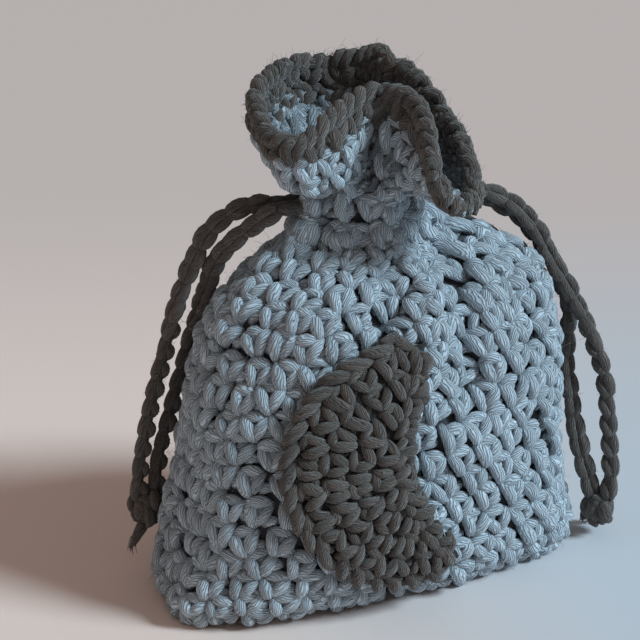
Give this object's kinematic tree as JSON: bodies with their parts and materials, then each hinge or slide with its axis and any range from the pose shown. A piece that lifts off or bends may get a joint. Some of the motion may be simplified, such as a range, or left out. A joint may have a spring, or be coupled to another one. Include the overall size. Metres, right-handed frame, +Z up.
{
  "type": "sachet",
  "caption": "Crocheted cotton sachet: a stuffed standing pouch with a gathered neck, a ruffled dark-edged mouth, a crescent moon patch and knotted chain drawstrings at the sides.",
  "frame": {"origin": "on the table, under the middle of the pouch's flat base", "axes": "+Z up, -Y out of the front with the moon, +X to the right seen from the front"},
  "size_m": [0.0991, 0.0546, 0.1057],
  "materials": {
    "pale_cotton": "matte plied cotton yarn, pale grey-blue",
    "taupe_cotton": "matte plied cotton yarn, dark taupe",
    "linen": "matte plain linen"
  },
  "bodies": {
    "pouch": {"pouch_body": "pale_cotton", "scent_pad": "linen", "neck_band": "pale_cotton", "mouth_frill": "pale_cotton", "frill_edging": "taupe_cotton", "moon_patch": "taupe_cotton", "moon_border": "taupe_cotton", "left_cord_loop": "taupe_cotton", "right_cord_loop": "taupe_cotton"},
    "left_drawstring": {"left_cord_outer": "taupe_cotton", "left_cord_inner": "taupe_cotton", "left_knot": "taupe_cotton", "left_tail_a": "taupe_cotton", "left_tail_b": "taupe_cotton"},
    "right_drawstring": {"right_cord_outer": "taupe_cotton", "right_cord_inner": "taupe_cotton", "right_knot": "taupe_cotton", "right_tail_a": "taupe_cotton", "right_tail_b": "taupe_cotton"}
  },
  "joints": [
    {"name": "left_drawstring_swing", "type": "hinge", "parent": "pouch", "child": "left_drawstring", "pos_m": [-0.019, 0.0024, 0.0798], "axis": [0, 1, 0], "range_deg": [0, 65]},
    {"name": "right_drawstring_swing", "type": "hinge", "parent": "pouch", "child": "right_drawstring", "pos_m": [0.019, 0.0021, 0.0758], "axis": [0, -1, 0], "range_deg": [0, 65]}
  ]
}
